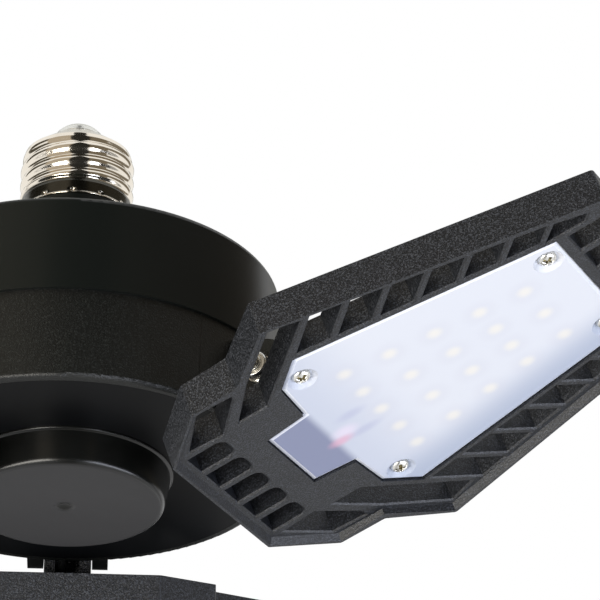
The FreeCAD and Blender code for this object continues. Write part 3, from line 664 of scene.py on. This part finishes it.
def dished_cap(finish):
    """Cap with a soft dimple in its face, a rounded edge and a small bead at its foot."""
    foot = CAP_FOOT_R
    profile = [(r, h + DIMPLE_DEPTH) for r, h in crown(DIMPLE_R, DIMPLE_DEPTH, 8)]
    profile += bend((DIMPLE_R - 0.25, 0.1), (DIMPLE_R, 0.0), (DIMPLE_R + 0.3, 0.0), 3)
    profile += [(CAP_FLAT_R, 0.0)]
    profile += bend((CAP_FACE_R - 1.5, 0.0), (CAP_FACE_R, 0.0), (CAP_FACE_R + 0.3, 1.5), 10)
    profile += [(foot - 0.15, CAP_RISE - 0.75)]
    profile += bend((foot + 0.05, CAP_RISE - 0.6), (foot + 0.5, CAP_RISE - 0.6),
                    (foot + 0.5, CAP_RISE), 5)
    profile += [(CAP_SPIGOT_R, CAP_RISE), (CAP_SPIGOT_R, CAP_RISE + CAP_SPIGOT),
                (CAP_BORE_R, CAP_RISE + CAP_SPIGOT), (CAP_BORE_R, CAP_WALL), (0.0, CAP_WALL)]
    mesh = lathe("dished_cap", [(r, h + CAP_FACE) for r, h in profile], 192, sharp=40.0)
    return hand_over(linked("dished_cap", mesh), "centre_cap", finish)


def glass_plug(finish):
    """Insulator in the shell's mouth; a thin dark line of it shows under the contact."""
    profile = [(0.0, PLUG_TOP), (PLUG_R, PLUG_TOP), (PLUG_R, PLUG_LOW + 1.2),
               (PLUG_R - 1.4, PLUG_LOW), (0.0, PLUG_LOW)]
    mesh = lathe("glass_plug", profile, 96, sharp=30.0)
    return hand_over(linked("glass_plug", mesh), "base_insulator", finish)


def domed_contact(finish):
    """Centre contact: a full dome on a short skirt."""
    dome = crown(CONTACT_R, CONTACT_TOP - PLUG_TOP - CONTACT_SKIRT, 12)
    profile = [(r, h + CONTACT_TOP) for r, h in dome]
    profile += bend((PLUG_R - 0.15, PLUG_TOP + CONTACT_SKIRT + 0.15),
                    (PLUG_R, PLUG_TOP + CONTACT_SKIRT), (PLUG_R, PLUG_TOP), 3)
    mesh = lathe("domed_contact", profile + [(0.0, PLUG_TOP)], 96)
    return hand_over(linked("domed_contact", mesh), "base_contact", finish)


def ringed_nut(side, place, finish):
    """Round nut on the hinge bolt, with a collar and a groove round the bolt's end."""
    profile = [(NUT_BORE, 0.0), (NUT_R - 0.2, 0.0), (NUT_R, 0.2), (NUT_R, 1.5)]
    profile += bend((NUT_R, 1.5), (NUT_R, 2.2), (NUT_R - 0.5, 2.2), 5)
    profile += [(2.3, 1.9), (2.05, 1.9)]
    profile += bend((1.95, 2.2), (1.85, 2.6), (1.6, 2.5), 4)
    profile += [(NUT_BORE, 2.2), (NUT_BORE, 0.0)]
    mesh = lathe("ringed_nut", [(r, h + NUT_START) for r, h in profile], 64, sharp=50.0)
    towards = Matrix(((1, 0, 0, 0), (0, 0, -1, 0), (0, 1, 0, 0), (0, 0, 0, 1)))
    mesh.transform(place @ Matrix.Translation((PIVOT_U, 0.0, PIVOT_H)) @ towards
                   @ Matrix.Scale(1 / MM, 4))
    return hand_over(linked("ringed_nut_" + side, mesh), "hinge_nut_" + side, finish)


# ------------------------------------------------------------------ pieces made by node trees

class Shape(Tree):
    """Geometry Nodes tree with named inputs, put on an object and worked into its mesh."""

    def __init__(self, name):
        self.group = bpy.data.node_groups.new(name, "GeometryNodeTree")
        super().__init__(self.group)
        self.group.interface.new_socket("Geometry", in_out="INPUT",
                                        socket_type="NodeSocketGeometry")
        self.group.interface.new_socket("Geometry", in_out="OUTPUT",
                                        socket_type="NodeSocketGeometry")
        self.entry = self.group.nodes.new("NodeGroupInput")
        self.values = {}

    def input(self, name, value):
        socket = self.group.interface.new_socket(name, in_out="INPUT",
                                                 socket_type="NodeSocketFloat")
        self.values[socket.identifier] = value
        return Value(self, self.entry.outputs[name])

    def finish(self, geometry, material):
        realized = self.add("GeometryNodeRealizeInstances", None, {0: geometry})
        painted = self.add("GeometryNodeSetMaterial", None, {0: realized.outputs[0]})
        painted.inputs["Material"].default_value = material
        leave = self.group.nodes.new("NodeGroupOutput")
        self.tree.links.new(painted.outputs[0], leave.inputs[0])

    def apply(self, piece):
        modifier = piece.modifiers.new(self.group.name, "NODES")
        modifier.node_group = self.group
        for identifier, value in self.values.items():
            modifier[identifier] = value
        return evaluated(piece)


def thread_tree(material):
    """Raises the helical thread and presses the ring of crimps into a plain shell."""
    shape = Shape("rolled_thread")
    pitch = shape.input("Pitch", PITCH)
    depth = shape.input("Thread depth", CREST_R - ROOT_R)
    crest = shape.input("First crest", FIRST_CREST)
    low = shape.input("Thread low", THREAD_LOW)
    high = shape.input("Thread high", THREAD_HIGH)
    crimps = shape.input("Crimps", CRIMPS)
    crimp_height = shape.input("Crimp height", CRIMP_HEIGHT)
    crimp_depth = shape.input("Crimp depth", CRIMP_DEPTH)
    place = shape.add("GeometryNodeInputPosition")
    x, y, z = shape.axes(place.outputs[0])
    height = z / MM
    radius = distance(x, y)
    turn = y.math("ARCTAN2", x)
    cycles = (height - crest) / pitch - turn / math.tau - 0.25
    wave = (cycles * math.tau).math("COSINE") * 0.5 + 0.5
    window = (height - low).smooth(-0.5, 0.9) * (high - height).smooth(-0.7, 0.9)
    outer = radius.smooth((ROOT_R - 0.12) * MM, (ROOT_R - 0.02) * MM)
    pulse = (turn * crimps + CRIMP_PHASE).math("COSINE").smooth(0.80, 0.97)
    rise = (height - crimp_height).math("ABSOLUTE")
    crimp = pulse * rise.smooth(0.75, 0.2) * crimp_depth
    push = (wave * depth * window - crimp) * outer * MM
    offset = shape.add("ShaderNodeCombineXYZ", None,
                       {0: x / radius * push, 1: y / radius * push})
    moved = shape.add("GeometryNodeSetPosition", None,
                      {"Geometry": shape.entry.outputs["Geometry"],
                       "Offset": offset.outputs[0]})
    shape.finish(moved.outputs[0], material)
    return shape


def rolled_shell(finish):
    """Sheet-metal screw shell with a rolled rim, a crimped skirt, thread and coned shoulder."""
    inner = CREST_R - SHEET
    rim = [(inner, 0.0), (12.7, 0.0), (13.0, 0.12), (13.12, 0.35), (13.0, 0.6), (12.8, 0.75)]
    wall = [(12.85, 3.4), (ROOT_R, 4.4), (ROOT_R, 14.6), (12.75, 15.4), (12.45, 16.5)]
    nose = [(6.7, 20.9), (6.4, 21.15), (6.1, 21.1), (6.1, 20.4)]
    inside = [(11.6, 16.15), (inner, 14.45), (inner, 0.0)]
    mesh = lathe("rolled_shell", rim + wall + nose + inside, 192, SHELL_STEP)
    piece = thread_tree(finish).apply(linked("rolled_shell", mesh))
    return hand_over(piece, "screw_shell", finish)


def screw_head():
    """Pan head about +Z, its seat at z = 0 and a cross recess in its crown."""
    rings, segments = 22, 64
    work = bmesh.new()
    recess = work.verts.layers.float.new("recess")
    rows = []
    for j in range(rings + 1):
        t = j / rings
        radius = SCREW_R * (1.0 - t) ** 0.8
        dome = SCREW_TOP * (1.0 - (radius / SCREW_R) ** 2.6) ** 0.5
        row = []
        for k in range(segments if j < rings else 1):
            angle = math.tau * k / segments
            x, y = radius * math.cos(angle), radius * math.sin(angle)
            inside = 1.0
            for size, (limit, run) in ((min(abs(x), abs(y)), DRIVE_ARM),
                                       (max(abs(x), abs(y)), DRIVE_REACH)):
                inside *= min(1.0, max(0.0, (limit - size) / run))
            row.append(work.verts.new((x, y, dome - DRIVE_DEPTH * inside)))
            row[-1][recess] = inside
        rows.append(row)
    foot = [work.verts.new((v.co.x, v.co.y, -SCREW_FOOT)) for v in rows[0]]
    work.faces.new(list(reversed(foot)))
    for low, high in zip([foot] + rows, rows):
        for k in range(segments):
            corners = [low[k], low[(k + 1) % segments],
                       high[(k + 1) % len(high)], high[k % len(high)]]
            work.faces.new(list(dict.fromkeys(corners)))
    mesh = bpy.data.meshes.new("screw_head")
    work.to_mesh(mesh)
    work.free()
    mesh.shade_smooth()
    return mesh


def screws_tree(head, material):
    """Puts one head on every point, turned on its axis by its own amount."""
    shape = Shape("screws")
    size = shape.input("Size", 1.0)
    loose = shape.input("Turn of the drive", 0.7)
    info = shape.add("GeometryNodeObjectInfo", None, {"Object": head})
    number = shape.add("GeometryNodeInputIndex")
    spin = Value(shape, number.outputs[0]) * loose + 0.35
    rotation = shape.add("ShaderNodeCombineXYZ", None, {2: spin})
    placed = shape.add("GeometryNodeInstanceOnPoints", None,
                       {"Points": shape.entry.outputs["Geometry"],
                        "Instance": info.outputs["Geometry"],
                        "Rotation": rotation.outputs[0], "Scale": size})
    shape.finish(placed.outputs[0], material)
    return shape


def lens_screws(side, place, head, finish):
    """The four lens screws of a wing, heads towards its lit face."""
    mesh = bpy.data.meshes.new("screw_places")
    spots = [(u, v * sign, -SCREW_SEAT_H) for u, v in SCREW_PLACES for sign in (1, -1)]
    mesh.from_pydata(spots, [], [])
    piece = linked("cross_screws_" + side, mesh)
    screws_tree(head, finish).apply(piece)
    face_down = Matrix.Scale(-1, 4, (0, 0, 1))
    piece.data.transform(place @ face_down)
    piece.data.flip_normals()
    return hand_over(piece, "lens_screws_" + side, finish)


def make_wing(side, head, finishes):
    """The pieces of one wing that stand for their CAD nodes."""
    place = wing_place(side)
    eased("wing_frame_" + side, "lattice_" + side, FRAME_EDGE, finishes["wing_frame"], place,
          slope_rim(place))
    cover = eased("lens_" + side, "lens_cover_" + side, LENS_EDGE, finishes["lens"], place)
    add_wing_map(cover, place)
    mark_bevel_highlight(cover, place)
    lens_screws(side, place, head, finishes["steel"])
    ringed_nut(side, place, finishes["steel"])


def make_object():
    finishes = make_finishes()
    finish_nodes(finishes)
    rolled_shell(finishes["screw_shell"])
    dished_cap(finishes["centre_cap"])
    glass_plug(finishes["base_insulator"])
    domed_contact(finishes["base_contact"])
    head = linked("screw_head", screw_head())
    for side in SIDES:
        make_wing(side, head, finishes)
    bpy.data.objects.remove(head)


# ------------------------------------------------------------------ studio

def direction(azimuth, elevation):
    azimuth, elevation = math.radians(azimuth), math.radians(elevation)
    return Vector((math.cos(elevation) * math.sin(azimuth),
                   -math.cos(elevation) * math.cos(azimuth), math.sin(elevation)))


def softbox(name, azimuth, elevation, reach, size, power, color, in_gloss):
    """Rectangular lamp that looks at the origin."""
    data = bpy.data.lights.new(name, "AREA")
    data.shape = "RECTANGLE"
    data.size, data.size_y = size
    data.energy = power
    data.color = srgb(color)
    lamp = bpy.data.objects.new(name, data)
    place = direction(azimuth, elevation) * reach
    lamp.matrix_world = (Matrix.Translation(place)
                         @ (-place).to_track_quat("-Z", "Y").to_matrix().to_4x4())
    lamp.visible_glossy = in_gloss
    bpy.context.scene.collection.objects.link(lamp)


def add_world():
    """White surroundings that camera, gloss and glass see at full white."""
    world = bpy.data.worlds.new("studio")
    world.use_nodes = True
    bpy.context.scene.world = world
    tree = Tree(world.node_tree)
    path = tree.add("ShaderNodeLightPath")
    seen = Value(tree, path.outputs["Is Camera Ray"])
    for kind in ("Is Glossy Ray", "Is Transmission Ray"):
        seen = seen.math("MAXIMUM", path.outputs[kind])
    background = world.node_tree.nodes["Background"]
    tree.plug(background.inputs["Strength"], seen * (WHITE - AMBIENT) + AMBIENT)
    tree.plug(background.inputs["Color"], (1.0, 1.0, 1.0, 1.0))


def reflection_card(name, azimuths, elevations, color):
    """Curved card far round the light that only gloss sees."""
    steps = 8
    verts = []
    for j in range(steps + 1):
        elevation = elevations[0] + (elevations[1] - elevations[0]) * j / steps
        for k in range(steps + 1):
            azimuth = azimuths[0] + (azimuths[1] - azimuths[0]) * k / steps
            verts.append(direction(azimuth, elevation) * CARD_DISTANCE)
    row = steps + 1
    faces = [(j * row + k, j * row + k + 1, (j + 1) * row + k + 1, (j + 1) * row + k)
             for j in range(steps) for k in range(steps)]
    mesh = bpy.data.meshes.new(name)
    mesh.from_pydata(verts, [], faces)
    card = linked(name, mesh)
    paint = Paint(name, "000000", roughness=1.0, specular_ior_level=0.0)
    paint.set("Emission Color", srgb(color) + (1.0,))
    paint.set("Emission Strength", 1.0)
    card.data.materials.append(paint.material)
    card.visible_camera = False
    card.visible_diffuse = False
    card.visible_shadow = False
    card.visible_transmission = False


def add_floor():
    """Plain floor, which the camera sees paler than it is lit."""
    half = FLOOR_HALF
    mesh = bpy.data.meshes.new("floor")
    mesh.from_pydata([(-half, -half, FLOOR_Z), (half, -half, FLOOR_Z), (half, half, FLOOR_Z),
                      (-half, half, FLOOR_Z)], [], [(0, 1, 2, 3)])
    floor = linked("floor", mesh)
    paint = Paint("floor", "eeeeee", roughness=0.8)
    path = paint.add("ShaderNodeLightPath")
    paint.set("Emission Color", paint.blend(path.outputs["Is Camera Ray"], "000000", "c8c8c8"))
    paint.set("Emission Strength", 1.0)
    floor.data.materials.append(paint.material)


def add_studio():
    add_world()
    for box in SOFTBOXES:
        softbox(*box)
    for card in CARDS:
        reflection_card(*card)
    add_floor()


bpy.context.scene.view_settings.view_transform = "Standard"
add_camera()
make_object()
add_studio()
